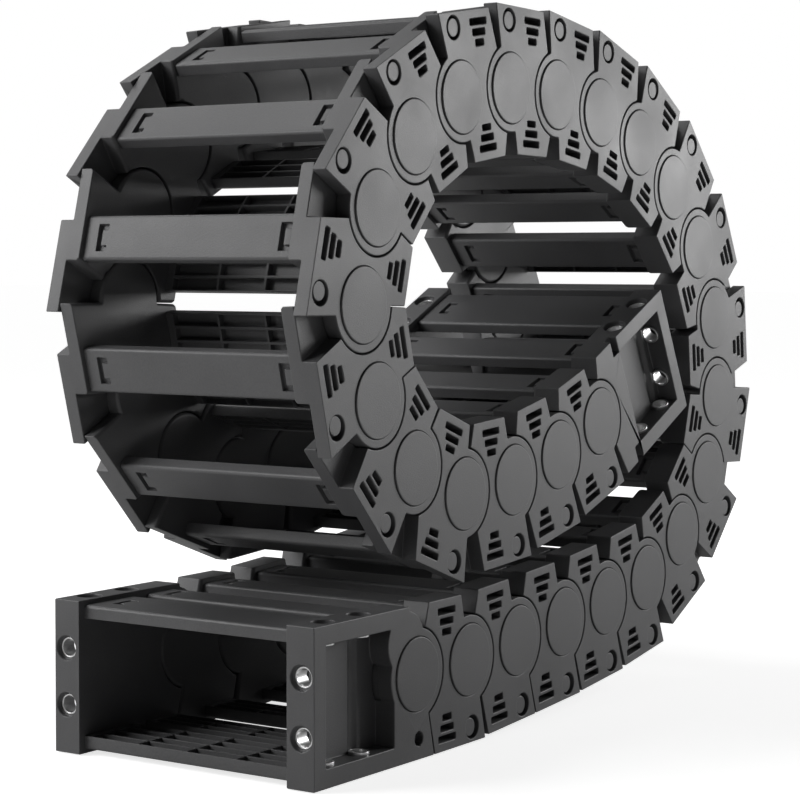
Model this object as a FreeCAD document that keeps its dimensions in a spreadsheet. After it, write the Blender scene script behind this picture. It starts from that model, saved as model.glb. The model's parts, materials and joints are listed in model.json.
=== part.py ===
"""Plastic cable drag chain: twenty-five links coiled between two end brackets, in millimetres, +Z up.

The chain starts at the lower (fixed) bracket, runs along +X, climbs, and turns back over itself into one loop.
Near plates lie on the -Y side. Every link is drawn lying flat: its tail pivot at the origin, its head pivot one
pitch along +X, the inside of the loop towards +Z. It is then placed at its tail pivot, turned by its heading.
"""
import FreeCAD, Part
import math
import os

import Sketcher

# Driving dimensions
SIZES = {
    "pitch": 50.0,
    "chain_width": 170.0,
    "plate_thickness": 17.0,
    "outer_layer": 8.5,
    "layer_gap": 0.3,
    "inner_height": 36.0,
    "outer_height": 45.0,
    "ring_radius": 24.0,
    "tail_radius": 23.0,
    "ring_gap": 0.8,
    "pin_radius": 19.5,
    "pin_clearance": 0.1,
    "pin_proud": 0.8,
    "bend_limit": 28.5,
    "stop_gap_angle": 0.8,
    "wing_back_angle": 17.3,
    "seam_angle": 26.0,
    "seam_tip": 16.0,
    "seam_gap": 0.4,
    "tongue_reach": 11.5,
    "slot_width": 3.5,
    "slot_pitch": 5.6,
    "slot_length": 16.5,
    "slot_step": 4.0,
    "slot_depth": 5.0,
    "slot_margin": 6.6,
    "slot_centre": 28.0,
    "bar_width": 24.0,
    "bar_centre": 25.5,
    "bar_thickness": 7.0,
    "bar_recess": 2.5,
    "bar_chamfer": 1.2,
    "bar_web": 3.0,
    "bar_rail": 4.0,
    "flange": 10.0,
    "bracket_wall": 5.0,
    "lower_length": 90.0,
    "upper_length": 100.0,
    "window_edge": 21.0,
    "upper_window_edge": 38.0,
    "bulge_radius": 16.5,
    "bulge_back": 10.0,
    "bulge_rise": 17.5,
    "hole_spacing": 30.0,
    "hole_setback": 18.5,
    "hole_inset": 8.0,
    "bolt_radius": 4.5,
    "bushing_wall": 1.0,
    "bushing_fit": 0.05,
    "bushing_proud": 1.5,
    "notch_width": 7.0,
    "notch_depth": 5.0,
    "notch_place": 34.0,
    "peg_width": 3.0,
    "peg_height": 7.0,
    "peg_drop": 37.5,
    "wide_bar_width": 40.0,
    "wide_bar_setback": 4.0,
    "bracket_bar_gap": 9.5,
    "coil_gap": 2.0,
}

# Bend of each hinge in degrees, from the lower bracket round to the upper one, read from the photograph
BENDS = [
    0.5, 3.5, 0.5, 2, 3,
    17, 19, 28.5, 21, 22,
    16, 16, 13, 9.5, 7.5,
    10, 18, 21, 28, 28.5,
    28.5, 27, 24, 8, 7,
    7,
]

# Where the coil is too tight for the sizes above, it opens: these hinges by a full step and the rest by half
OPENING_HINGES = 19
OPENING_STEP = 0.01
NEIGHBOURS = 6

# Sizes that follow from the driving ones
PLACES = {
    "outer_face": "Sizes.chain_width / 2",
    "inner_face": "Sizes.chain_width / 2 - Sizes.plate_thickness",
    "passage_width": "Sizes.chain_width - 2 * Sizes.plate_thickness",
    "tail_thickness": "Sizes.plate_thickness - Sizes.outer_layer - Sizes.layer_gap",
    "tail_depth": "Sizes.outer_layer + Sizes.layer_gap",
    "head_recess": "Sizes.plate_thickness - Sizes.outer_layer",
    "ring_recess_radius": "Sizes.ring_radius + Sizes.ring_gap",
    "tail_recess_radius": "Sizes.tail_radius + Sizes.ring_gap",
    "bore_radius": "Sizes.pin_radius + Sizes.pin_clearance",
    "pin_face": "Sizes.chain_width / 2 + Sizes.pin_proud",
    "pin_length": "Sizes.outer_layer + Sizes.layer_gap + Sizes.pin_proud",
    "front_angle": "Sizes.bend_limit + Sizes.stop_gap_angle - Sizes.wing_back_angle",
    "back_foot_x": "Sizes.ring_radius * sin(Sizes.wing_back_angle)",
    "back_foot_z": "Sizes.ring_radius * cos(Sizes.wing_back_angle)",
    "back_tip_x": "Sizes.inner_height * tan(Sizes.wing_back_angle)",
    "front_foot_x": "-Sizes.ring_radius * sin(front_angle)",
    "front_foot_z": "Sizes.ring_radius * cos(front_angle)",
    "front_tip_x": "-Sizes.inner_height * tan(front_angle)",
    "seam_foot_x": "Sizes.ring_radius * sin(Sizes.seam_angle)",
    "seam_foot_z": "-Sizes.ring_radius * cos(Sizes.seam_angle)",
    "slot_first": "Sizes.inner_height - Sizes.slot_margin",
    "bar_outer_face": "-Sizes.outer_height + Sizes.bar_recess",
    "bar_inner_face": "Sizes.inner_height - Sizes.bar_recess",
    "middle": "(Sizes.inner_height - Sizes.outer_height) / 2",
    "hole_line": "Sizes.chain_width / 2 - Sizes.hole_inset",
    "window_depth": "Sizes.plate_thickness - Sizes.bracket_wall",
    "window_top": "Sizes.inner_height - Sizes.flange",
    "window_bottom": "-Sizes.outer_height + Sizes.flange",
    "bushing_radius": "Sizes.bolt_radius + Sizes.bushing_wall",
    "bushing_hole": "Sizes.bolt_radius + Sizes.bushing_wall + Sizes.bushing_fit",
    "bushing_length": "Sizes.flange + Sizes.bushing_proud",
}

SLOTS = 3
for slot in range(SLOTS):
    half = f"(Sizes.slot_length - {slot} * Sizes.slot_step) / 2"
    PLACES[f"slot_{slot}_left"] = f"Sizes.slot_centre - {half}"
    PLACES[f"slot_{slot}_right"] = f"Sizes.slot_centre + {half}"
    inset = f"Sizes.slot_margin + {slot} * Sizes.slot_pitch"
    PLACES[f"inner_slot_{slot}_top"] = f"Sizes.inner_height - ({inset}) + Sizes.slot_width / 2"
    PLACES[f"inner_slot_{slot}_bottom"] = f"Sizes.inner_height - ({inset}) - Sizes.slot_width / 2"
    PLACES[f"outer_slot_{slot}_top"] = f"-Sizes.outer_height + {inset} + Sizes.slot_width / 2"
    PLACES[f"outer_slot_{slot}_bottom"] = f"-Sizes.outer_height + {inset} - Sizes.slot_width / 2"

for bar_side, sign in (("outer", "+"), ("inner", "-")):
    for part, depth in (("edge", "bar_chamfer"), ("floor", "bar_web"), ("back", "bar_thickness")):
        PLACES[f"{bar_side}_bar_{part}"] = f"bar_{bar_side}_face {sign} Sizes.{depth}"

for flange_end, rule in (("lower", "-Sizes.lower_length"), ("upper", "Sizes.upper_length")):
    toward = "+" if flange_end == "lower" else "-"
    PLACES[f"{flange_end}_end"] = rule
    PLACES[f"{flange_end}_window_end"] = f"{rule} {toward} Sizes.flange"
    PLACES[f"{flange_end}_hole_0"] = f"{rule} {toward} Sizes.hole_setback"
    PLACES[f"{flange_end}_hole_1"] = f"{rule} {toward} (Sizes.hole_setback + Sizes.hole_spacing)"
    PLACES[f"{flange_end}_wide_bar_start"] = f"{rule} {toward} Sizes.wide_bar_setback"
    PLACES[f"{flange_end}_wide_bar_stop"] = f"{rule} {toward} (Sizes.wide_bar_setback + Sizes.wide_bar_width)"

PLACES["lower_bar_left"] = "lower_wide_bar_stop + Sizes.bracket_bar_gap"
PLACES["lower_bar_right"] = "lower_bar_left + Sizes.bar_width"

PLACES["end_hole_low"] = "middle - Sizes.hole_spacing / 2"
PLACES["end_hole_high"] = "middle + Sizes.hole_spacing / 2"
PLACES["bar_left"] = "Sizes.bar_centre - Sizes.bar_width / 2"
PLACES["bar_right"] = "Sizes.bar_centre + Sizes.bar_width / 2"
PLACES["notch_left"] = "Sizes.notch_place - Sizes.notch_width / 2"
PLACES["notch_right"] = "Sizes.notch_place + Sizes.notch_width / 2"

OUT = "parts"
LINKS = len(BENDS) - 1

doc = FreeCAD.newDocument("cable_drag_chain")


def fill_sheet(name, values):
    """A sheet with one row for each value: its name, the value itself, and the name as the value's alias."""
    sheet = doc.addObject("Spreadsheet::Sheet", name)
    for row, (alias, value) in enumerate(values.items(), start=1):
        sheet.set(f"A{row}", alias)
        sheet.set(f"B{row}", str(value))
        sheet.setAlias(f"B{row}", alias)
    doc.recompute()
    return sheet


sizes = fill_sheet("Sizes", SIZES)
places = fill_sheet("Places", {alias: "=" + rule for alias, rule in PLACES.items()})


def number(rule):
    """The value of a rule: named sizes or plain numbers joined by + and - with blanks between."""
    total, sign = 0.0, 1.0
    for word in rule.split():
        if word in ("+", "-"):
            sign = -1.0 if word == "-" else 1.0
            continue
        sheet = sizes if word in SIZES else places
        total += sign * float(sheet.get(word) if word in SIZES or word in PLACES else word)
        sign = 1.0
    return total


def expression(rule):
    """The same rule as the document reads it, with each name led by its sheet."""
    words = []
    for word in rule.split():
        sheet = "Sizes." if word in SIZES else "Places." if word in PLACES else ""
        words.append(sheet + word)
    return " ".join(words)


def make_body(name):
    """An empty body, hidden from the list of sub-parts until a compound shows it."""
    return doc.addObject("PartDesign::Body", name)


def plane_of(body, role):
    for feature in body.Origin.OriginFeatures:
        if feature.Role == role:
            return feature
    raise ValueError(role)


def make_sketch(body, name, role="XZ_Plane", level="0"):
    """A sketch on one of the body's own planes, moved along that plane's normal by a rule."""
    sketch = body.newObject("Sketcher::SketchObject", name)
    sketch.AttachmentSupport = [(plane_of(body, role), "")]
    sketch.MapMode = "FlatFace"
    sketch.setExpression("AttachmentOffset.Base.z", expression(level))
    return sketch


def fix_point(sketch, edge, end, across, up):
    """Dimension one end of an edge from the sketch's origin by two rules."""
    for kind, rule in (("DistanceX", across), ("DistanceY", up)):
        index = sketch.addConstraint(Sketcher.Constraint(kind, -1, 1, edge, end, number(rule)))
        sketch.setExpression(f"Constraints[{index}]", expression(rule))


def draw_polygon(sketch, corners):
    """A closed outline of straight edges through corners given as pairs of rules."""
    start = sketch.GeometryCount
    points = [FreeCAD.Vector(number(x), number(z), 0) for x, z in corners]
    count = len(points)
    for i in range(count):
        sketch.addGeometry(Part.LineSegment(points[i], points[(i + 1) % count]), False)
    for i in range(count):
        sketch.addConstraint(Sketcher.Constraint("Coincident", start + i, 2, start + (i + 1) % count, 1))
    for i, (x, z) in enumerate(corners):
        fix_point(sketch, start + i, 1, x, z)


def draw_circle(sketch, x, z, radius):
    """A circle with its centre and radius given as rules."""
    edge = sketch.GeometryCount
    centre = FreeCAD.Vector(number(x), number(z), 0)
    sketch.addGeometry(Part.Circle(centre, FreeCAD.Vector(0, 0, 1), number(radius)), False)
    index = sketch.addConstraint(Sketcher.Constraint("Radius", edge, number(radius)))
    sketch.setExpression(f"Constraints[{index}]", expression(radius))
    fix_point(sketch, edge, 3, x, z)


def extrude(body, kind, sketch, length, backward=True):
    """A pad or pocket of the sketch; every sketch here faces -Y, so backward means towards +Y."""
    before = body.Shape.Volume if body.Shape and not body.Shape.isNull() else 0.0
    feature = body.newObject("PartDesign::" + kind, sketch.Name + "_" + kind.lower())
    feature.Profile = sketch
    feature.Reversed = backward if kind == "Pad" else not backward
    feature.setExpression("Length", expression(length))
    body.Tip = feature
    doc.recompute()
    after = body.Shape.Volume
    grown = after > before + 0.001 if kind == "Pad" else after < before - 0.001
    if not grown:
        raise RuntimeError(f"{feature.Name} changed nothing: {before} to {after}")
    return feature


def pad_circle(body, name, level, x, z, radius, length, backward=True):
    sketch = make_sketch(body, name, level=level)
    draw_circle(sketch, x, z, radius)
    return extrude(body, "Pad", sketch, length, backward)


def cut_circle(body, name, level, x, z, radius, length, backward=True):
    sketch = make_sketch(body, name, level=level)
    draw_circle(sketch, x, z, radius)
    return extrude(body, "Pocket", sketch, length, backward)


def box_corners(left, right, bottom, top):
    return [(left, bottom), (right, bottom), (right, top), (left, top)]


def side_wings(body, corners, name):
    """The plate's own outline through its full thickness."""
    sketch = make_sketch(body, name, level="outer_face")
    draw_polygon(sketch, corners)
    return extrude(body, "Pad", sketch, "plate_thickness")


def add_head(body, x):
    """The head ring in the outer layer, with room behind it for the next tail and a bore for its pin."""
    pad_circle(body, body.Name + "_ring", "outer_face", x, "0", "ring_radius", "outer_layer")
    cut_circle(body, body.Name + "_room", "inner_face", x, "0", "tail_recess_radius", "head_recess", False)
    cut_circle(body, body.Name + "_bore", "outer_face", x, "0", "bore_radius", "outer_layer")
    room = make_sketch(body, body.Name + "_tongue_room", level="inner_face")
    draw_polygon(room, [
        (x + " - tongue_reach - seam_gap", "- outer_height"),
        (x + " + seam_tip", "- outer_height"),
        (x + " + seam_foot_x", "seam_foot_z"),
        (x + " - seam_gap", "0"),
    ])
    extrude(body, "Pocket", room, "head_recess", False)


def add_tail(body):
    """The tail disc in the inner layer, with the outer layer cleared around it and the pivot pin on it."""
    pad_circle(body, body.Name + "_tail", "inner_face", "0", "0", "tail_radius", "tail_thickness", False)
    cut_circle(body, body.Name + "_clearing", "outer_face", "0", "0", "ring_recess_radius", "tail_depth")
    pad_circle(body, body.Name + "_pin", "pin_face", "0", "0", "pin_radius", "pin_length")
    tongue = make_sketch(body, body.Name + "_tongue", level="inner_face")
    draw_polygon(tongue, [
        ("- tongue_reach", "- outer_height"),
        ("seam_tip + seam_gap", "- outer_height"),
        ("seam_foot_x + seam_gap", "seam_foot_z"),
        ("0", "0"),
    ])
    extrude(body, "Pad", tongue, "tail_thickness", False)


def tail_corners():
    """The tail end's outline, from the seam tip on the outside to the wing tip on the inside."""
    return [
        ("seam_tip + seam_gap", "- outer_height"),
        ("seam_foot_x + seam_gap", "seam_foot_z"),
        ("0", "0"),
        ("back_foot_x", "back_foot_z"),
        ("back_tip_x", "inner_height"),
    ]


def head_corners(pivot):
    """The head end's outline, from the wing tip on the inside to the seam tip on the outside."""
    return [
        (pivot + " + front_tip_x", "inner_height"),
        (pivot + " + front_foot_x", "front_foot_z"),
        (pivot, "0"),
        (pivot + " + seam_foot_x", "seam_foot_z"),
        (pivot + " + seam_tip", "- outer_height"),
    ]


def cut_slots(body):
    """Three parallel slots in each wing, the longest nearest its edge."""
    for wing in ("inner", "outer"):
        sketch = make_sketch(body, f"{body.Name}_{wing}_slots", level="outer_face")
        for slot in range(SLOTS):
            low, high = f"{wing}_slot_{slot}_bottom", f"{wing}_slot_{slot}_top"
            draw_polygon(sketch, box_corners(f"slot_{slot}_left", f"slot_{slot}_right", low, high))
        extrude(body, "Pocket", sketch, "slot_depth")


def make_side_plate():
    body = make_body("near_side_plate")
    side_wings(body, tail_corners() + head_corners("pitch"), "wings")
    add_head(body, "pitch")
    add_tail(body)
    cut_slots(body)
    return body


def cut_window(body, name, left, right):
    """The pocket that leaves a flange along the end, the top and the bottom of a bracket."""
    sketch = make_sketch(body, name, level="outer_face")
    draw_polygon(sketch, box_corners(left, right, "window_bottom", "window_top"))
    extrude(body, "Pocket", sketch, "window_depth")


def drill_end(body, name, end):
    """Two holes through the end flange, along X."""
    sketch = make_sketch(body, name, "YZ_Plane", end)
    for height in ("end_hole_low", "end_hole_high"):
        draw_circle(sketch, "- hole_line", height, "bushing_hole")
    cut_both_ways(body, sketch)


def drill_top(body, name, end):
    """Two holes through the top and the bottom flange, along Z."""
    sketch = make_sketch(body, name, "XY_Plane")
    for hole in (0, 1):
        draw_circle(sketch, f"{end}_hole_{hole}", "- hole_line", "bushing_hole")
    cut_both_ways(body, sketch, through=True)


def cut_both_ways(body, sketch, through=False):
    """A pocket to both sides of its sketch, through everything or one flange deep."""
    before = body.Shape.Volume
    feature = body.newObject("PartDesign::Pocket", sketch.Name + "_pocket")
    feature.Profile = sketch
    feature.Midplane = True
    if through:
        feature.Type = "ThroughAll"
    else:
        feature.setExpression("Length", "2 * Sizes.flange + 2 * Sizes.bushing_proud")
    body.Tip = feature
    doc.recompute()
    if body.Shape.Volume > before - 0.001:
        raise RuntimeError(f"{feature.Name} cut nothing")


def make_lower_plate():
    body = make_body("near_lower_plate")
    outline = head_corners("0") + [("lower_end", "- outer_height"), ("lower_end", "inner_height")]
    side_wings(body, outline, "lower_outline")
    cut_window(body, "lower_window", "lower_window_end", "- window_edge")
    pad_circle(body, "lower_bulge", "outer_face", "- bulge_back", "bulge_rise", "bulge_radius", "plate_thickness")
    add_head(body, "0")
    drill_end(body, "lower_end_holes", "lower_end")
    drill_top(body, "lower_flange_holes", "lower")
    peg = make_sketch(body, "lower_peg_slot", level="outer_face")
    draw_polygon(peg, box_corners("0", "peg_width", "- peg_drop", "- peg_drop + peg_height"))
    extrude(body, "Pocket", peg, "slot_depth")
    return body


def make_upper_plate():
    body = make_body("near_upper_plate")
    outline = tail_corners() + [("upper_end", "inner_height"), ("upper_end", "- outer_height")]
    side_wings(body, outline, "upper_outline")
    cut_window(body, "upper_window", "upper_window_edge", "upper_window_end")
    add_tail(body)
    drill_end(body, "upper_end_holes", "upper_end")
    drill_top(body, "upper_flange_holes", "upper")
    notches = make_sketch(body, "upper_notches", level="outer_face")
    draw_polygon(notches, box_corners("notch_left", "notch_right", "window_top", "inner_height"))
    draw_polygon(notches, box_corners("notch_left", "notch_right", "- outer_height", "window_bottom"))
    extrude(body, "Pocket", notches, "notch_depth")
    return body


def make_bar(name, bar_side, left="bar_left", right="bar_right"):
    """A crossbar: a flat face with chamfered edges and two rails behind it, from plate to plate."""
    body = make_body(name)
    face, edge = f"bar_{bar_side}_face", f"{bar_side}_bar_edge"
    floor, back = f"{bar_side}_bar_floor", f"{bar_side}_bar_back"
    sketch = make_sketch(body, name + "_section", level="inner_face")
    draw_polygon(sketch, [
        (left + " + bar_chamfer", face),
        (right + " - bar_chamfer", face),
        (right, edge),
        (right, back),
        (right + " - bar_rail", back),
        (right + " - bar_rail", floor),
        (left + " + bar_rail", floor),
        (left + " + bar_rail", back),
        (left, back),
        (left, edge),
    ])
    extrude(body, "Pad", sketch, "passage_width")
    return body


def make_bushing(name, inward, x, z):
    """A steel bushing from the outer side of a flange of a near plate to just past its inner side."""
    parts = []
    for role, radius in (("outside", "bushing_radius"), ("inside", "bolt_radius")):
        cylinder = doc.addObject("Part::Cylinder", f"{name}_{role}")
        cylinder.setExpression("Radius", expression(radius))
        cylinder.setExpression("Height", expression("bushing_length"))
        parts.append(cylinder)
    tube = doc.addObject("Part::Cut", name)
    tube.Base, tube.Tool = parts
    turn = FreeCAD.Rotation(FreeCAD.Vector(0, 0, 1), inward)
    start = FreeCAD.Vector(number(x), -number("hole_line"), number(z))
    tube.Placement = FreeCAD.Placement(start, turn)
    return tube


def mirrored(source, name):
    """The far-side twin of a near-side piece."""
    twin = doc.addObject("Part::Mirroring", name)
    twin.Source = source
    twin.Normal = FreeCAD.Vector(0, 1, 0)
    return twin


def group(name, pieces):
    compound = doc.addObject("Part::Compound", name)
    compound.Links = pieces
    compound.Label = name
    return compound


def follow(bends):
    """Heading in degrees and pivot of every member, from the lower bracket to the upper one."""
    heading, x, z = 0.0, 0.0, SIZES["outer_height"]
    poses = [(heading, x, z)]
    for bend in bends:
        heading += bend
        poses.append((heading, x, z))
        x += SIZES["pitch"] * math.cos(math.radians(heading))
        z += SIZES["pitch"] * math.sin(math.radians(heading))
    return poses


def side_view(pose, start, stop):
    """Corners of a member's side view, in the frame of the whole chain."""
    turn, x, z = math.radians(pose[0]), pose[1], pose[2]
    bottom, top = -SIZES["outer_height"], SIZES["inner_height"]
    corners = [(start, bottom), (stop, bottom), (stop, top), (start, top)]
    return [
        (x + u * math.cos(turn) - v * math.sin(turn), z + u * math.sin(turn) + v * math.cos(turn))
        for u, v in corners
    ]


def separation(one, other):
    """How far two side views lie apart, at most, along the normal of any of their edges."""
    widest = -math.inf
    for shape in (one, other):
        for (x0, z0), (x1, z1) in zip(shape, shape[1:] + shape[:1]):
            length = math.hypot(x1 - x0, z1 - z0)
            across = [[(x * (z1 - z0) - z * (x1 - x0)) / length for x, z in view] for view in (one, other)]
            widest = max(widest, min(across[1]) - max(across[0]), min(across[0]) - max(across[1]))
    return widest


def chain_poses():
    """The poses read from the photograph, opened step by step until the coil's turns clear each other."""
    bends = list(BENDS)
    while True:
        poses = follow(bends)
        spans = [(-SIZES["lower_length"], 0)] + [(0, SIZES["pitch"])] * LINKS + [(0, SIZES["upper_length"])]
        views = [side_view(pose, *span) for pose, span in zip(poses, spans)]
        gaps = [
            separation(views[i], views[j])
            for i in range(len(views))
            for j in range(i + NEIGHBOURS, len(views))
        ]
        if min(gaps) >= SIZES["coil_gap"]:
            return poses
        for hinge, bend in enumerate(BENDS):
            step = OPENING_STEP if hinge < OPENING_HINGES else OPENING_STEP / 2
            bends[hinge] -= bend * step


def place(pieces, pose, shift):
    """Turn pieces to a heading about their pivot and set the pivot in its place."""
    heading, x, z = pose
    turn = FreeCAD.Rotation(FreeCAD.Vector(0, -1, 0), heading)
    for piece in pieces:
        piece.Placement = FreeCAD.Placement(FreeCAD.Vector(x + shift, 0, z), turn)


def make_bars(name, spans):
    """One inner and one outer bar for each span along the chain, as a compound's list."""
    bars = []
    for number_of_span, (left, right) in enumerate(spans):
        for bar_side in ("inner", "outer"):
            bars.append(make_bar(f"{name}_{bar_side}_{number_of_span}", bar_side, left, right))
    return bars


def make_bushings(end):
    """The six steel bushings of one near bracket plate."""
    inward = FreeCAD.Vector(1 if end == "lower" else -1, 0, 0)
    down, up = FreeCAD.Vector(0, 0, -1), FreeCAD.Vector(0, 0, 1)
    bushings = []
    for height in ("end_hole_low", "end_hole_high"):
        bushings.append(make_bushing(f"{end}_{height}", inward, f"{end}_end", height))
    for hole in (0, 1):
        place_along = f"{end}_hole_{hole}"
        bushings.append(make_bushing(f"{end}_top_bushing_{hole}", down, place_along, "inner_height"))
        bushings.append(make_bushing(f"{end}_bottom_bushing_{hole}", up, place_along, "- outer_height"))
    return bushings


def make_bracket(end, plate, spans):
    """A bracket's four nodes: near plate, far plate, crossbars and steel bushings."""
    near_bushings = group(f"{end}_near_bushings", make_bushings(end))
    return [
        group(f"{end}_bracket_near_plate", [plate]),
        group(f"{end}_bracket_far_plate", [mirrored(plate, f"far_{end}_plate")]),
        group(f"{end}_bracket_crossbars", make_bars(end, spans)),
        group(f"{end}_bracket_bushings", [near_bushings, mirrored(near_bushings, f"{end}_far_bushings")]),
    ]


def check(objects):
    """Stop before anything is written if a feature failed or a shape is empty or not valid."""
    for item in doc.Objects:
        if "Invalid" in item.State or "Error" in item.State:
            raise RuntimeError(f"{item.Name} failed: {item.State}")
    for item in objects:
        if item.Shape.isNull() or not item.Shape.isValid() or not item.Shape.Solids:
            raise RuntimeError(f"{item.Label} has no valid shape")


def main():
    plate = make_side_plate()
    far_plate = mirrored(plate, "far_side_plate")
    bars = make_bars("link", [("bar_left", "bar_right")])
    poses = chain_poses()
    members = [make_bracket("lower", make_lower_plate(), [
        ("lower_wide_bar_start", "lower_wide_bar_stop"),
        ("lower_bar_left", "lower_bar_right"),
    ])]
    for link in range(1, LINKS + 1):
        members.append([
            group(f"link_{link:02d}_side_plates", [plate, far_plate]),
            group(f"link_{link:02d}_crossbars", bars),
        ])
    members.append(make_bracket("upper", make_upper_plate(), [
        ("upper_wide_bar_stop", "upper_wide_bar_start"),
        ("bar_left", "bar_right"),
    ]))
    doc.recompute()

    # The origin is under the middle of the whole chain
    for pieces, pose in zip(members, poses):
        place(pieces, pose, 0.0)
    doc.recompute()
    nodes = [piece for pieces in members for piece in pieces]
    boxes = [node.Shape.BoundBox for node in nodes]
    shift = -(min(box.XMin for box in boxes) + max(box.XMax for box in boxes)) / 2
    for pieces, pose in zip(members, poses):
        place(pieces, pose, shift)
    doc.recompute()

    check(nodes)
    os.makedirs(OUT, exist_ok=True)
    for node in nodes:
        node.Shape.exportStep(os.path.join(OUT, node.Label + ".step"))
    print(len(nodes), "nodes, first pivot at x", round(shift, 4))
    for pose in poses:
        print("heading %.1f pivot %.4f %.4f" % (pose[0], pose[1] + shift, pose[2]))


main()
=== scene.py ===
"""Looks for the coiled cable drag chain: side plates, ribbed crossbars, steel bushings and the stage."""
import json
import math

import bpy
from bpy.props import FloatProperty, FloatVectorProperty, PointerProperty
from mathutils import Matrix, Vector

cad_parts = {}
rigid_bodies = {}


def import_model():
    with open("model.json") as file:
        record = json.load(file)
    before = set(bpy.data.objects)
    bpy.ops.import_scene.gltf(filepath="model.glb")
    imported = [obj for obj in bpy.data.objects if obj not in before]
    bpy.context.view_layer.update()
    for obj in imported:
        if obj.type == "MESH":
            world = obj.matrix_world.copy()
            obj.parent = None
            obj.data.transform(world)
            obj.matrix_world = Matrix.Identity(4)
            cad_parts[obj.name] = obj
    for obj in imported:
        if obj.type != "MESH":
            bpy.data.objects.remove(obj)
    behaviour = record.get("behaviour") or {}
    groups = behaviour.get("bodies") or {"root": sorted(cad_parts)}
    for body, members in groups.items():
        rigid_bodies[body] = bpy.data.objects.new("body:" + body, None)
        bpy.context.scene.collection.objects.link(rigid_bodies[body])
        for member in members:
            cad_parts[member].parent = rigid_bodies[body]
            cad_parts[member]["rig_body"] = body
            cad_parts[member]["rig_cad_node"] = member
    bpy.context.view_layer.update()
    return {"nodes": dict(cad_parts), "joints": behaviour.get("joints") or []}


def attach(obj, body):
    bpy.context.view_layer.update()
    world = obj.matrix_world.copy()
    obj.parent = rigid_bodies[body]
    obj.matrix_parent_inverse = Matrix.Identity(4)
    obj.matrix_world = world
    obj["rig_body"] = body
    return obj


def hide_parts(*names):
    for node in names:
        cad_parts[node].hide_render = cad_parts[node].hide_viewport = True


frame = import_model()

bl_info = {
    "name": "Cable Drag Chain",
    "version": (1, 0, 0),
    "blender": (4, 5, 0),
    "location": "View3D > Sidebar > Drag Chain",
    "description": "Models the visible pieces of a coiled plastic cable chain around its engineering frame",
    "category": "Object",
}

LINKS = len(frame["joints"]) - 1

# The frame's sizes in a member's own drawing: x along the chain, z towards the inside of the coil
PITCH = 0.050
OUTER_FACE = 0.085
INNER_FACE = 0.068
INNER_HEIGHT = 0.036
OUTER_HEIGHT = 0.045
SLOT_DEPTH = 0.005
BAR_CENTRE = 0.0255
BAR_WIDTH = 0.024
BAR_RECESS = 0.0025
BAR_THICKNESS = 0.007
BRACKET_ENDS = {"lower_bracket": -0.090, "upper_bracket": 0.100}
WIDE_BARS = {"lower_bracket": (-0.086, -0.046), "upper_bracket": (0.056, 0.096)}
HOLE_LINE = 0.077
HOLE_HEIGHTS = (-0.0195, 0.0105)
FLANGE_HOLES = {"lower_bracket": (-0.0715, -0.0415), "upper_bracket": (0.0515, 0.0815)}
BRACKET_PEG_HOLE = (0.0015, -0.034)

# Places and sizes of the details that are only drawn here
PEG_ALONG = 0.0525
PEG_BELOW = 0.0368
PEG_BACK = 0.001
PEG_DEPTH = 0.0032
PEG_LENGTH = 0.0046
PEG_EDGE = 0.0006
PEG_HOLE_CUT = 0.010
BAR_MARGIN = 0.001
BAR_END = 0.004
BAR_WEB = 0.003
BAR_EDGE = 0.0004
RIB_COLUMNS = 4
RIB_ROWS = 3
RIB_ROWS_WIDE = 4
WIDE_FROM = 0.03
LATCH_INSET = 0.0085
LATCH_HALF = 0.0072
LATCH_ARM = 0.0068
LATCH_DEPTH = 0.0024

# Tolerances of the modelling tools
HAIR = 0.00002
MERGE_DISTANCE = 0.000005
CUT_MARGIN = 0.002
CUT_REACH = 0.2
FACING = 0.9
FLAT_ANGLE = math.radians(1.0)
SHARP_ANGLE = math.radians(35.0)
SOFT_SEGMENTS = 2
BAR_SEGMENTS = 4

# Light, floor and camera
# Painted edge highlight: edges lighten to this many times the plastic's colour
EDGE_HIGHLIGHT_GAIN = 1.8
GRAIN_RELIEF = 0.0004
ROOM_LIGHT = 0.005
SHADOW_REACH = (0.30, 0.75)
SHADOW_LIFT = 0.76
FLOOR_LIFT = 0.97
GLOSSY_SHARE = 0.15
FLOOR_SIZE = 30
FLOOR_DROP = 0.0005
LAMP_AIM = (0.0, 0.0, 0.2)
SOFTBOXES = {
    "key softbox": ("key_power", (1.58, -1.03, 0.85), (1.0, 0.9)),
    "strip softbox": ("strip_power", (1.58, -1.03, 0.42), (1.0, 0.4)),
    "back softbox": ("back_power", (-1.0, 0.9, 0.8), (0.8, 0.8)),
    "top softbox": ("top_power", (0.0, 0.8, 1.5), (1.0, 1.0)),
}
CAMERA_PLACE = (-1.1348, -0.7490, 0.2605)
CAMERA_AHEAD = (0.822, 0.568, -0.035)
CAMERA_SHIFT = (0.0149, -0.0765)
CAMERA_SENSOR = 36
CAMERA_REACH = 100


def link_name(number):
    return f"link_{number:02d}"


def member_places():
    """Where each member's own drawing lies: its tail pivot, turned by its heading in the coil."""
    first = frame["joints"][0]
    places = {first["parent"]: Matrix.Translation(Vector(first["pos_m"]))}
    heading = 0.0
    for joint in frame["joints"]:
        heading -= joint["range_deg"][0]
        turn = Matrix.Rotation(math.radians(-heading), 4, "Y")
        places[joint["child"]] = Matrix.Translation(Vector(joint["pos_m"])) @ turn
    return places


PLACES = member_places()


# Modelling helpers

def select_only(*objects):
    bpy.ops.object.select_all(action="DESELECT")
    for item in objects:
        item.select_set(True)
    bpy.context.view_layer.objects.active = objects[0]


def apply_place(piece):
    select_only(piece)
    bpy.ops.object.transform_apply(location=True, rotation=True, scale=True)


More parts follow.
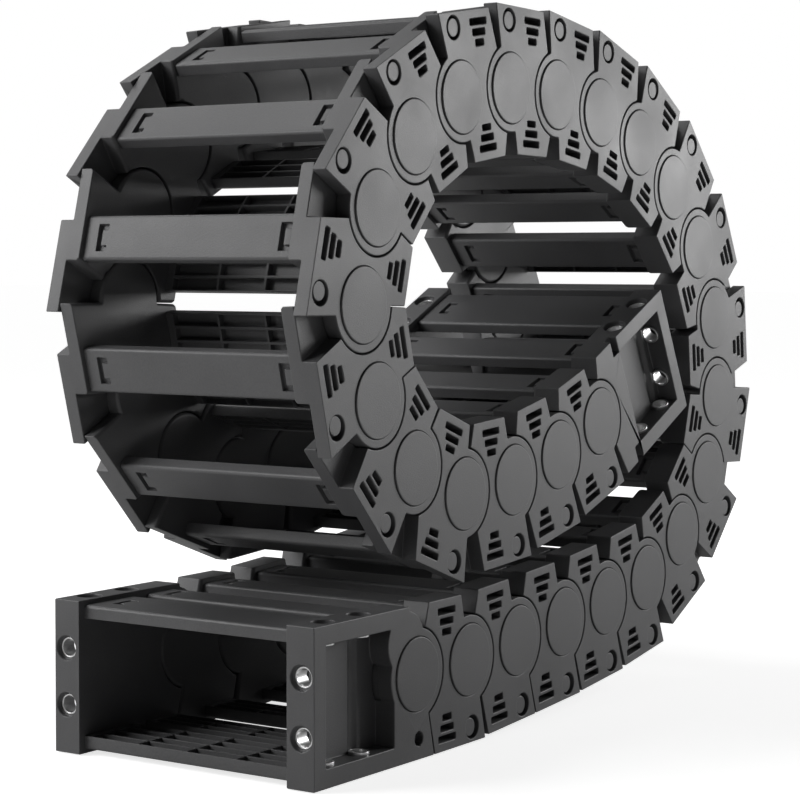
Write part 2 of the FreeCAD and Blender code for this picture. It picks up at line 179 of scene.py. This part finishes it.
def block(name, low, high):
    """A box between two corners, as a start for shaping."""
    low, high = Vector(low), Vector(high)
    bpy.ops.object.select_all(action="DESELECT")
    bpy.ops.mesh.primitive_cube_add(size=1, location=(low + high) / 2)
    piece = bpy.context.object
    piece.name = name
    piece.scale = high - low
    apply_place(piece)
    return piece


def round_bar(name, centre, radius, depth, axis="Y", vertices=40):
    """A cylinder along one axis, as a start for shaping."""
    turns = {"X": (0, math.pi / 2, 0), "Y": (math.pi / 2, 0, 0), "Z": (0, 0, 0)}
    bpy.ops.object.select_all(action="DESELECT")
    bpy.ops.mesh.primitive_cylinder_add(vertices=vertices, radius=radius, depth=depth, location=centre,
                                        rotation=turns[axis])
    piece = bpy.context.object
    piece.name = name
    apply_place(piece)
    return piece


def pick_faces(piece, test):
    """Select the faces whose centre and normal pass a test, and go to edit mode."""
    select_only(piece)
    bpy.ops.object.mode_set(mode="EDIT")
    bpy.ops.mesh.select_mode(type="FACE")
    bpy.ops.mesh.select_all(action="DESELECT")
    bpy.ops.object.mode_set(mode="OBJECT")
    for face in piece.data.polygons:
        face.select = test(face.center, face.normal)
    bpy.ops.object.mode_set(mode="EDIT")


def pick_edges(piece, test):
    """Select the edges whose two ends pass a test, and go to edit mode."""
    select_only(piece)
    bpy.ops.object.mode_set(mode="EDIT")
    bpy.ops.mesh.select_mode(type="EDGE")
    bpy.ops.mesh.select_all(action="DESELECT")
    bpy.ops.object.mode_set(mode="OBJECT")
    points = piece.data.vertices
    for edge in piece.data.edges:
        edge.select = test(*(points[index].co for index in edge.vertices))
    bpy.ops.object.mode_set(mode="EDIT")


def leave_edit():
    bpy.ops.object.mode_set(mode="OBJECT")


def cut(piece, cutter):
    """Take the cutter out of the piece and remove the cutter."""
    select_only(piece)
    modifier = piece.modifiers.new("cut", "BOOLEAN")
    modifier.operation = "DIFFERENCE"
    modifier.solver = "EXACT"
    modifier.object = cutter
    bpy.ops.object.modifier_apply(modifier=modifier.name)
    bpy.data.objects.remove(cutter)


def join(first, *others):
    select_only(first, *others)
    bpy.ops.object.join()
    return first


def round_edges(piece, width):
    """Soften every sharp edge as a mould does, and shade the curves smooth."""
    select_only(piece)
    modifier = piece.modifiers.new("soft edges", "BEVEL")
    modifier.width = width
    modifier.segments = SOFT_SEGMENTS
    modifier.limit_method = "ANGLE"
    modifier.angle_limit = SHARP_ANGLE
    modifier.use_clamp_overlap = False
    modifier.miter_outer = "MITER_ARC"
    bpy.ops.object.modifier_apply(modifier=modifier.name)
    bpy.ops.object.shade_smooth_by_angle(angle=SHARP_ANGLE)
    even = piece.modifiers.new("flat faces", "WEIGHTED_NORMAL")
    even.keep_sharp = True
    bpy.ops.object.modifier_apply(modifier=even.name)


def copy_of_node(node, name, place):
    """A merged copy of a frame node, brought back to its member's own drawing."""
    select_only(frame["nodes"][node])
    bpy.ops.object.duplicate()
    piece = bpy.context.object
    piece.name = name
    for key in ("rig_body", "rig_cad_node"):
        del piece[key]
    piece.parent = None
    piece.matrix_world = place.inverted()
    apply_place(piece)
    bpy.ops.object.mode_set(mode="EDIT")
    bpy.ops.mesh.select_all(action="SELECT")
    bpy.ops.mesh.remove_doubles(threshold=MERGE_DISTANCE)
    bpy.ops.mesh.dissolve_limited(angle_limit=FLAT_ANGLE)
    leave_edit()
    return piece


def placed_copy(master, name, place):
    """A copy of a finished master with a mesh of its own, its place in its vertices."""
    select_only(master)
    bpy.ops.object.duplicate()
    piece = bpy.context.object
    piece.name = name
    piece.matrix_world = place
    apply_place(piece)
    return piece


def seat(piece, body, slot, material, *nodes):
    """Give a finished piece its material and its body, and hide the frame nodes that it stands for."""
    piece.data.materials.clear()
    piece.data.materials.append(material)
    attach(piece, body)
    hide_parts(*nodes)


# Materials

def add_node(tree, kind, x, y, **values):
    node = tree.nodes.new(kind)
    node.location = (x, y)
    for key, value in values.items():
        setattr(node, key, value)
    return node


def remap(tree, x, y, value, span, result, **values):
    """Stretch the values of one span over another."""
    node = add_node(tree, "ShaderNodeMapRange", x, y, **values)
    for label, level in zip(("From Min", "From Max", "To Min", "To Max"), (*span, *result)):
        node.inputs[label].default_value = level
    tree.links.new(value, node.inputs["Value"])
    return node.outputs["Result"]


def product(tree, x, y, one, other):
    """Multiply two values."""
    node = add_node(tree, "ShaderNodeMath", x, y, operation="MULTIPLY")
    tree.links.new(one, node.inputs[0])
    tree.links.new(other, node.inputs[1])
    return node.outputs[0]


def grain_and_edge_highlight_group():
    """Moulded grain: fine pits and slow cloudiness, with a painted highlight that lightens the edges."""
    name = "moulded grain"
    if name in bpy.data.node_groups:
        return bpy.data.node_groups[name]
    group = bpy.data.node_groups.new(name, "ShaderNodeTree")
    face = group.interface
    for label, kind, default in (
        ("Color", "NodeSocketColor", (0.1, 0.1, 0.1, 1)),
        ("Rubbed Color", "NodeSocketColor", (0.2, 0.2, 0.2, 1)),
        ("Grain Scale", "NodeSocketFloat", 1500.0),
        ("Cloud Scale", "NodeSocketFloat", 18.0),
        ("Roughness", "NodeSocketFloat", 0.45),
        ("Edge Wear", "NodeSocketFloat", 0.5),
    ):
        socket = face.new_socket(name=label, in_out="INPUT", socket_type=kind)
        socket.default_value = default
    for label, kind in (
        ("Color", "NodeSocketColor"),
        ("Roughness", "NodeSocketFloat"),
        ("Height", "NodeSocketFloat"),
    ):
        face.new_socket(name=label, in_out="OUTPUT", socket_type=kind)
    links = group.links
    source = add_node(group, "NodeGroupInput", -900, 0)
    result = add_node(group, "NodeGroupOutput", 900, 0)
    place = add_node(group, "ShaderNodeTexCoord", -900, -300)

    grain = add_node(group, "ShaderNodeTexNoise", -600, -200)
    grain.inputs["Detail"].default_value = 3.0
    grain.inputs["Roughness"].default_value = 0.6
    links.new(place.outputs["Object"], grain.inputs["Vector"])
    links.new(source.outputs["Grain Scale"], grain.inputs["Scale"])

    cloud = add_node(group, "ShaderNodeTexNoise", -600, -500)
    cloud.inputs["Detail"].default_value = 4.0
    links.new(place.outputs["Object"], cloud.inputs["Vector"])
    links.new(source.outputs["Cloud Scale"], cloud.inputs["Scale"])

    shade = remap(group, -300, -500, cloud.outputs["Fac"], (0.3, 0.7), (0.86, 1.12))
    speckle = remap(group, -300, -250, grain.outputs["Fac"], (0.3, 0.7), (0.9, 1.1))
    both = product(group, -80, -350, shade, speckle)
    shaded = add_node(group, "ShaderNodeVectorMath", 120, 150, operation="SCALE")
    links.new(source.outputs["Color"], shaded.inputs[0])
    links.new(both, shaded.inputs["Scale"])

    # Painted highlight: edges picked out by Pointiness are lightened towards the highlight colour
    shape = add_node(group, "ShaderNodeNewGeometry", -600, 350)
    edge = remap(group, -300, 350, shape.outputs["Pointiness"], (0.52, 0.66), (0, 1))
    highlight_mask = product(group, -80, 350, edge, source.outputs["Edge Wear"])
    colour = add_node(group, "ShaderNodeMix", 400, 200, data_type="RGBA")
    links.new(highlight_mask, colour.inputs["Factor"])
    links.new(shaded.outputs[0], colour.inputs["A"])
    links.new(source.outputs["Rubbed Color"], colour.inputs["B"])

    links.new(colour.outputs["Result"], result.inputs["Color"])
    rough = product(group, 400, -100, source.outputs["Roughness"], both)
    links.new(rough, result.inputs["Roughness"])
    links.new(grain.outputs["Fac"], result.inputs["Height"])
    return group


def grained_material(name, colour, highlight_colour, roughness, grain_scale, bump, metallic=0.0):
    """A Principled material whose colour, roughness and bump come from the grain group, with a painted
    highlight on its edges.
    """
    if name in bpy.data.materials:
        return bpy.data.materials[name]
    material = bpy.data.materials.new(name)
    material.use_nodes = True
    tree = material.node_tree
    tree.nodes.clear()
    output = add_node(tree, "ShaderNodeOutputMaterial", 600, 0)
    shader = add_node(tree, "ShaderNodeBsdfPrincipled", 300, 0)
    shader.inputs["Metallic"].default_value = metallic
    grain = add_node(tree, "ShaderNodeGroup", -200, 0)
    grain.node_tree = grain_and_edge_highlight_group()
    grain.inputs["Color"].default_value = (*colour, 1)
    grain.inputs["Rubbed Color"].default_value = (*highlight_colour, 1)
    grain.inputs["Grain Scale"].default_value = grain_scale
    grain.inputs["Roughness"].default_value = roughness
    relief = add_node(tree, "ShaderNodeBump", 50, -250)
    relief.inputs["Strength"].default_value = bump
    relief.inputs["Distance"].default_value = GRAIN_RELIEF
    tree.links.new(grain.outputs["Height"], relief.inputs["Height"])
    tree.links.new(relief.outputs["Normal"], shader.inputs["Normal"])
    tree.links.new(grain.outputs["Color"], shader.inputs["Base Color"])
    tree.links.new(grain.outputs["Roughness"], shader.inputs["Roughness"])
    tree.links.new(shader.outputs["BSDF"], output.inputs["Surface"])
    return material


def plastic_edge_highlight(colour):
    """The paler colour of the painted highlight on edges."""
    return tuple(min(1.0, channel * EDGE_HIGHLIGHT_GAIN) for channel in colour)


def plate_plastic():
    finish = bpy.context.scene.chain_finish
    colour = tuple(finish.plate_colour)
    return grained_material("plate plastic", colour, plastic_edge_highlight(colour), finish.plate_roughness,
                            grain_scale=1400.0, bump=0.25)


def bar_plastic():
    finish = bpy.context.scene.chain_finish
    colour = tuple(finish.bar_colour)
    return grained_material("crossbar plastic", colour, plastic_edge_highlight(colour), finish.plate_roughness,
                            grain_scale=1100.0, bump=0.35)


def bushing_steel():
    finish = bpy.context.scene.chain_finish
    # The near-white rims on the steel are a painted highlight
    return grained_material("bushing steel", tuple(finish.steel_colour), (0.95, 0.95, 0.95), 0.32,
                            grain_scale=2500.0, bump=0.08, metallic=1.0)


# Settings

class ChainPlates(bpy.types.PropertyGroup):
    edge: FloatProperty(name="Edge Rounding", description="Rounding of the plates' moulded edges",
                        default=0.0006, min=0.0001, unit="LENGTH")
    peg_hole: FloatProperty(name="Peg Hole Radius", description="Radius of the hole around each stop peg",
                            default=0.0064, min=0.001, unit="LENGTH")
    peg: FloatProperty(name="Peg Radius", description="Radius of the stop peg",
                       default=0.0050, min=0.0005, unit="LENGTH")
    bracket_hole: FloatProperty(name="Bracket Hole", description="Radius of the bracket's small hole",
                                default=0.0038, min=0.001, unit="LENGTH")
    slot_extra: FloatProperty(name="Extra Slot Depth", description="Added depth of the wings' slots",
                              default=0.0035, min=0, max=0.006, unit="LENGTH")
    seam: FloatProperty(name="Inner Seam", description="Chamfer of the seams on the plates' inner sides",
                        default=0.0013, min=0.0002, unit="LENGTH")


class ChainBars(bpy.types.PropertyGroup):
    edge: FloatProperty(name="Edge Rounding", description="Rounding of the crossbars' long edges",
                        default=0.0018, min=0.0001, unit="LENGTH")
    latch: FloatProperty(name="Latch Slot Width", description="Width of the slot beside each latch",
                         default=0.0029, min=0.0005, unit="LENGTH")
    rib: FloatProperty(name="Rib Thickness", description="Thickness of the ribs under each crossbar",
                       default=0.0016, min=0.0005, unit="LENGTH")


class ChainBushings(bpy.types.PropertyGroup):
    mouth: FloatProperty(name="Mouth Radius", description="Radius of the counterbore around each bushing",
                         default=0.0065, min=0.0056, unit="LENGTH")
    recess: FloatProperty(name="Recess", description="Depth of the counterbore, down to the bushing's end",
                          default=0.0025, min=0.0002, unit="LENGTH")
    edge: FloatProperty(name="Rim Rounding", description="Rounding of the bushings' rims",
                        default=0.0003, min=0.0001, max=0.0004, unit="LENGTH")


class ChainFinish(bpy.types.PropertyGroup):
    plate_colour: FloatVectorProperty(name="Plate Plastic", description="Colour of the side plates",
                                      subtype="COLOR", size=3, default=(0.105, 0.105, 0.108), min=0, max=1)
    bar_colour: FloatVectorProperty(name="Crossbar Plastic", description="Colour of the crossbars",
                                    subtype="COLOR", size=3, default=(0.110, 0.110, 0.113), min=0, max=1)
    steel_colour: FloatVectorProperty(name="Bushing Steel", description="Colour of the steel bushings",
                                      subtype="COLOR", size=3, default=(0.82, 0.82, 0.82), min=0, max=1)
    plate_roughness: FloatProperty(name="Plastic Roughness", description="Roughness of the moulded plastic",
                                   default=0.46, min=0, max=1, subtype="FACTOR")


class ChainStage(bpy.types.PropertyGroup):
    lens: FloatProperty(name="Lens", description="Focal length of the camera", default=103.97, min=10)
    floor_colour: FloatVectorProperty(name="Floor", description="Colour of the floor",
                                      subtype="COLOR", size=3, default=(0.86, 0.86, 0.855), min=0, max=1)
    key_power: FloatProperty(name="Key Light", description="Power of the tall softbox on the right",
                             default=7.8, min=0)
    strip_power: FloatProperty(name="Strip Light", description="Power of the low strip under the key light",
                               default=10.5, min=0)
    back_power: FloatProperty(name="Back Light", description="Power of the softbox behind on the left",
                              default=11.5, min=0)
    top_power: FloatProperty(name="Top Light", description="Power of the softbox above and behind",
                             default=6.5, min=0)


# Pieces

def stop_peg(side, plates):
    """A round hole with a peg in it, near the outer edge of the plate and towards its head."""
    settings = bpy.context.scene.chain_plates
    centre = Vector((PEG_ALONG, side * OUTER_FACE, -PEG_BELOW))
    cut(plates, round_bar("peg hole", centre, settings.peg_hole, PEG_HOLE_CUT))
    peg = round_bar("peg", centre + Vector((-PEG_BACK, -side * PEG_DEPTH, 0)), settings.peg, PEG_LENGTH)
    round_edges(peg, PEG_EDGE)
    return peg


def deepen_slots(side, plates):
    """Push the bottoms of the wings' slots further in, where they lie in their own shadow."""
    bottom = side * (OUTER_FACE - SLOT_DEPTH)

    def slot_bottom(centre, normal):
        return normal.y * side > FACING and abs(centre.y - bottom) < HAIR

    pick_faces(plates, slot_bottom)
    bpy.ops.transform.translate(value=(0, -side * bpy.context.scene.chain_plates.slot_extra, 0))
    leave_edit()


def open_seams(plates):
    """Chamfer the seams of the inner sides, which are dark channels between neighbours inside the chain."""
    def along(level, ends):
        return all(abs(end.z - level) < HAIR for end in ends)

    def seam(*ends):
        inside = all(abs(abs(end.y) - INNER_FACE) < HAIR for end in ends)
        along_wing = along(INNER_HEIGHT, ends) or along(-OUTER_HEIGHT, ends)
        by_bar = all(abs(end.x - BAR_CENTRE) < BAR_WIDTH / 2 + BAR_MARGIN for end in ends)
        return inside and not along_wing and not by_bar

    pick_edges(plates, seam)
    bpy.ops.mesh.bevel(offset=bpy.context.scene.chain_plates.seam, segments=1, affect="EDGES")
    leave_edit()


class CHAIN_OT_side_plates(bpy.types.Operator):
    """Near and far side plates of every link, with stop pegs and softened edges"""
    bl_idname = "chain.side_plates"
    bl_label = "Side Plates"

    def execute(self, context):
        settings = context.scene.chain_plates
        master = copy_of_node(link_name(1) + "_side_plates", "plates master", PLACES[link_name(1)])
        open_seams(master)
        for side in (-1, 1):
            deepen_slots(side, master)
        pegs = [stop_peg(side, master) for side in (-1, 1)]
        round_edges(master, settings.edge)
        join(master, *pegs)
        for number in range(1, LINKS + 1):
            body = link_name(number)
            piece = placed_copy(master, f"plates_{number:02d}", PLACES[body])
            seat(piece, body, "plate_plastic", plate_plastic(), body + "_side_plates")
        bpy.data.objects.remove(master)
        return {"FINISHED"}


def latch_slot(bar, side, face, towards, centre):
    """The bracket-shaped slot around the snap latch near one end of a crossbar, open to the near side."""
    width = bpy.context.scene.chain_bars.latch
    y = side * (INNER_FACE - LATCH_INSET)
    low, high = sorted((face - towards * CUT_MARGIN, face + towards * LATCH_DEPTH))
    spine = block("latch spine", (centre - LATCH_HALF, y - width, low), (centre + LATCH_HALF, y, high))
    cut(bar, spine)
    for end in (-1, 1):
        x = centre + end * LATCH_HALF
        inner, outer = sorted((x, x - end * width))
        cut(bar, block("latch arm", (inner, y - LATCH_ARM, low), (outer, y - width / 2, high)))


def levels(start, stop, count):
    """The ends of equal steps between two places, with both places."""
    return [start + (stop - start) * step / count for step in range(count + 1)]


def rib_cells(bar, left, right, back, towards):
    """Sink the cells between the ribs into the hidden side of a crossbar."""
    end = INNER_FACE - BAR_END
    rows = RIB_ROWS if right - left < WIDE_FROM else RIB_ROWS_WIDE
    lines = [((0, place, 0), (0, 1, 0)) for place in levels(-end, end, RIB_COLUMNS)]
    lines += [((place, 0, 0), (1, 0, 0)) for place in levels(left, right, rows)[1:-1]]
    for place, normal in lines:
        bpy.ops.mesh.select_all(action="SELECT")
        bpy.ops.mesh.bisect(plane_co=place, plane_no=normal)
    leave_edit()

    def cell(centre, normal):
        return normal.z * towards > FACING and abs(centre.z - back) < HAIR and abs(centre.y) < end

    pick_faces(bar, cell)
    bpy.ops.mesh.inset(thickness=bpy.context.scene.chain_bars.rib / 2, depth=0, use_individual=True)
    bpy.ops.mesh.extrude_faces_move(TRANSFORM_OT_shrink_fatten={"value": BAR_WEB - BAR_THICKNESS})
    leave_edit()


def crossbar(name, outer, left, right):
    """One crossbar in a link's own drawing: rounded top, latch slots at both ends, ladder of ribs behind."""
    towards = 1 if outer else -1
    face = -OUTER_HEIGHT + BAR_RECESS if outer else INNER_HEIGHT - BAR_RECESS
    back = face + towards * BAR_THICKNESS
    low, high = sorted((face, back))
    bar = block(name, (left, -INNER_FACE, low), (right, INNER_FACE, high))

    def long_edge(one, other):
        return abs(one.x - other.x) < HAIR and abs(one.z - face) + abs(other.z - face) < HAIR

    pick_edges(bar, long_edge)
    bpy.ops.mesh.bevel(offset=bpy.context.scene.chain_bars.edge, segments=BAR_SEGMENTS, affect="EDGES")
    rib_cells(bar, left, right, back, towards)
    for side in (-1, 1):
        latch_slot(bar, side, face, towards, (left + right) / 2)
    round_edges(bar, BAR_EDGE)
    return bar


def bar_pairs(spans):
    """Inner and outer crossbars for each span, joined as one piece."""
    bars = []
    for index, (left, right) in enumerate(spans):
        for outer in (True, False):
            bars.append(crossbar(f"bar {index} {outer}", outer, left, right))
    return join(*bars)


class CHAIN_OT_crossbars(bpy.types.Operator):
    """Inner and outer crossbars of every link and both brackets, with latch slots and ribs"""
    bl_idname = "chain.crossbars"
    bl_label = "Crossbars"

    def execute(self, context):
        span = (BAR_CENTRE - BAR_WIDTH / 2, BAR_CENTRE + BAR_WIDTH / 2)
        master = bar_pairs([span])
        for number in range(1, LINKS + 1):
            body = link_name(number)
            piece = placed_copy(master, f"bars_{number:02d}", PLACES[body])
            seat(piece, body, "crossbar_plastic", bar_plastic(), body + "_crossbars")
        bpy.data.objects.remove(master)
        narrow = {"lower_bracket": (span[0] - PITCH, span[1] - PITCH), "upper_bracket": span}
        for body, wide in WIDE_BARS.items():
            drawn = bar_pairs([wide, narrow[body]])
            piece = placed_copy(drawn, body + "_bars", PLACES[body])
            bpy.data.objects.remove(drawn)
            seat(piece, body, "crossbar_plastic", bar_plastic(), body + "_crossbars")
        return {"FINISHED"}


def counterbores(plate, body, y):
    """A wider, shallow mouth around each bushing, on the outer side of each flange."""
    settings = bpy.context.scene.chain_bushings
    mouths = [("X", (BRACKET_ENDS[body], y, height)) for height in HOLE_HEIGHTS]
    for along in FLANGE_HOLES[body]:
        mouths += [("Z", (along, y, INNER_HEIGHT)), ("Z", (along, y, -OUTER_HEIGHT))]
    for axis, centre in mouths:
        cut(plate, round_bar("mouth", centre, settings.mouth, 2 * settings.recess, axis, vertices=48))


class CHAIN_OT_brackets(bpy.types.Operator):
    """Near and far plates of the two end brackets, with counterbored holes and softened edges"""
    bl_idname = "chain.brackets"
    bl_label = "End Brackets"

    def execute(self, context):
        settings = context.scene.chain_plates
        for body in BRACKET_ENDS:
            for side, towards in (("near", -1), ("far", 1)):
                node = f"{body}_{side}_plate"
                drawn = copy_of_node(node, node + " drawn", PLACES[body])
                counterbores(drawn, body, towards * HOLE_LINE)
                if body == "lower_bracket":
                    centre = (BRACKET_PEG_HOLE[0], towards * OUTER_FACE, BRACKET_PEG_HOLE[1])
                    cut(drawn, round_bar("small hole", centre, settings.bracket_hole, PEG_HOLE_CUT))
                round_edges(drawn, settings.edge)
                piece = placed_copy(drawn, node + "_soft", PLACES[body])
                bpy.data.objects.remove(drawn)
                seat(piece, body, "plate_plastic", plate_plastic(), node)
        return {"FINISHED"}


def set_back(bushings, body):
    """Shorten every bushing at its outer end, so that it sits a little below the face of its flange."""
    recess = bpy.context.scene.chain_bushings.recess
    for axis, face in ((0, BRACKET_ENDS[body]), (2, INNER_HEIGHT), (2, -OUTER_HEIGHT)):
        low = [-CUT_REACH] * 3
        high = [CUT_REACH] * 3
        inward = -math.copysign(1, face)
        low[axis], high[axis] = sorted((face - inward * CUT_MARGIN, face + inward * recess))
        cut(bushings, block("end slice", low, high))


class CHAIN_OT_bushings(bpy.types.Operator):
    """Steel bushings of the two end brackets, set back from the outer faces, with softened rims"""
    bl_idname = "chain.bushings"
    bl_label = "Bushings"

    def execute(self, context):
        for body in BRACKET_ENDS:
            node = body + "_bushings"
            drawn = copy_of_node(node, node + " drawn", PLACES[body])
            set_back(drawn, body)
            round_edges(drawn, context.scene.chain_bushings.edge)
            piece = placed_copy(drawn, node + "_soft", PLACES[body])
            bpy.data.objects.remove(drawn)
            seat(piece, body, "bushing_steel", bushing_steel(), node)
        return {"FINISHED"}


def softbox(name, place, size, power):
    """A large rectangular lamp that faces the middle of the chain."""
    bpy.ops.object.select_all(action="DESELECT")
    bpy.ops.object.light_add(type="AREA", location=place)
    lamp = bpy.context.object
    lamp.name = name
    lamp.data.shape = "RECTANGLE"
    lamp.data.size, lamp.data.size_y = size
    lamp.data.energy = power
    lamp.rotation_euler = (Vector(LAMP_AIM) - Vector(place)).to_track_quat("-Z", "Y").to_euler()


def seen_directly(tree):
    """One for camera and transmission rays, a share for glossy ones, nothing for light on matt surfaces."""
    path = add_node(tree, "ShaderNodeLightPath", -900, 300)
    mirror = add_node(tree, "ShaderNodeMath", -700, 300, operation="MULTIPLY")
    mirror.inputs[1].default_value = GLOSSY_SHARE
    tree.links.new(path.outputs["Is Glossy Ray"], mirror.inputs[0])
    total = mirror.outputs[0]
    for step, kind in enumerate(("Is Camera Ray", "Is Transmission Ray")):
        most = add_node(tree, "ShaderNodeMath", -520 + 180 * step, 300, operation="MAXIMUM")
        tree.links.new(total, most.inputs[0])
        tree.links.new(path.outputs[kind], most.inputs[1])
        total = most.outputs[0]
    return total


def stage_material(name, colour):
    """A pale floor that the camera sees as nearly white, less so near the object, where the shadow stays."""
    material = bpy.data.materials.new(name)
    material.use_nodes = True
    tree = material.node_tree
    tree.nodes.clear()
    output = add_node(tree, "ShaderNodeOutputMaterial", 600, 0)
    shader = add_node(tree, "ShaderNodeBsdfPrincipled", 0, 0)
    shader.inputs["Base Color"].default_value = (*colour, 1)
    shader.inputs["Roughness"].default_value = 0.8
    glow = add_node(tree, "ShaderNodeEmission", 0, -300)
    place = add_node(tree, "ShaderNodeTexCoord", -900, -400)
    away = add_node(tree, "ShaderNodeVectorMath", -700, -400, operation="LENGTH")
    tree.links.new(place.outputs["Object"], away.inputs[0])
    lift = remap(tree, -500, -400, away.outputs["Value"], SHADOW_REACH, (SHADOW_LIFT, FLOOR_LIFT),
                 interpolation_type="SMOOTHSTEP")
    level = product(tree, -150, -300, seen_directly(tree), lift)
    both = add_node(tree, "ShaderNodeAddShader", 300, 0)
    tree.links.new(level, glow.inputs["Strength"])
    tree.links.new(shader.outputs["BSDF"], both.inputs[0])
    tree.links.new(glow.outputs["Emission"], both.inputs[1])
    tree.links.new(both.outputs[0], output.inputs["Surface"])
    return material


def set_world():
    """Dim even light for the object, plain white behind it."""
    world = bpy.data.worlds.new("studio")
    bpy.context.scene.world = world
    world.use_nodes = True
    tree = world.node_tree
    tree.nodes.clear()
    output = add_node(tree, "ShaderNodeOutputWorld", 600, 0)
    room = add_node(tree, "ShaderNodeBackground", 0, 0)
    room.inputs["Color"].default_value = (1, 1, 1, 1)
    room.inputs["Strength"].default_value = ROOM_LIGHT
    seen = add_node(tree, "ShaderNodeBackground", 0, -200)
    seen.inputs["Color"].default_value = (1, 1, 1, 1)
    seen.inputs["Strength"].default_value = 1.0
    mix = add_node(tree, "ShaderNodeMixShader", 300, 0)
    tree.links.new(seen_directly(tree), mix.inputs[0])
    tree.links.new(room.outputs[0], mix.inputs[1])
    tree.links.new(seen.outputs[0], mix.inputs[2])
    tree.links.new(mix.outputs[0], output.inputs["Surface"])


class CHAIN_OT_stage(bpy.types.Operator):
    """Floor, soft lamps, white surroundings and the camera"""
    bl_idname = "chain.stage"
    bl_label = "Stage"

    def execute(self, context):
        settings = context.scene.chain_stage
        bpy.ops.object.select_all(action="DESELECT")
        bpy.ops.mesh.primitive_plane_add(size=FLOOR_SIZE, location=(0, 0, -FLOOR_DROP))
        floor = context.object
        floor.name = "floor"
        floor.data.materials.append(stage_material("floor", tuple(settings.floor_colour)))

        for name, (setting, place, size) in SOFTBOXES.items():
            softbox(name, place, size, getattr(settings, setting))
        set_world()

        bpy.ops.object.camera_add(location=CAMERA_PLACE)
        camera = context.object
        camera.rotation_euler = Vector(CAMERA_AHEAD).to_track_quat("-Z", "Y").to_euler()
        camera.data.sensor_width = CAMERA_SENSOR
        camera.data.lens = settings.lens
        camera.data.shift_x, camera.data.shift_y = CAMERA_SHIFT
        camera.data.clip_end = CAMERA_REACH
        context.scene.camera = camera
        context.scene.view_settings.view_transform = "Standard"
        return {"FINISHED"}


class CHAIN_PT_panel(bpy.types.Panel):
    """The chain's pieces and their settings"""
    bl_idname = "CHAIN_PT_panel"
    bl_label = "Cable Drag Chain"
    bl_space_type = "VIEW_3D"
    bl_region_type = "UI"
    bl_category = "Drag Chain"

    def draw(self, context):
        layout = self.layout
        for group in SETTINGS:
            settings = getattr(context.scene, group)
            box = layout.box()
            for name in settings.__annotations__:
                box.prop(settings, name)
        for operator in OPERATORS:
            layout.operator(operator.bl_idname)


SETTINGS = {
    "chain_plates": ChainPlates,
    "chain_bars": ChainBars,
    "chain_bushings": ChainBushings,
    "chain_finish": ChainFinish,
    "chain_stage": ChainStage,
}
OPERATORS = (CHAIN_OT_side_plates, CHAIN_OT_crossbars, CHAIN_OT_brackets, CHAIN_OT_bushings, CHAIN_OT_stage)
CLASSES = (*SETTINGS.values(), *OPERATORS, CHAIN_PT_panel)


def register():
    for item in CLASSES:
        bpy.utils.register_class(item)
    for name, settings in SETTINGS.items():
        setattr(bpy.types.Scene, name, PointerProperty(type=settings))


def unregister():
    for name in SETTINGS:
        delattr(bpy.types.Scene, name)
    for item in reversed(CLASSES):
        bpy.utils.unregister_class(item)


def main():
    register()
    for call in (
        bpy.ops.chain.side_plates,
        bpy.ops.chain.crossbars,
        bpy.ops.chain.brackets,
        bpy.ops.chain.bushings,
        bpy.ops.chain.stage,
    ):
        if call() != {"FINISHED"}:
            raise RuntimeError("an operator did not finish")


if __name__ == "__main__":
    main()
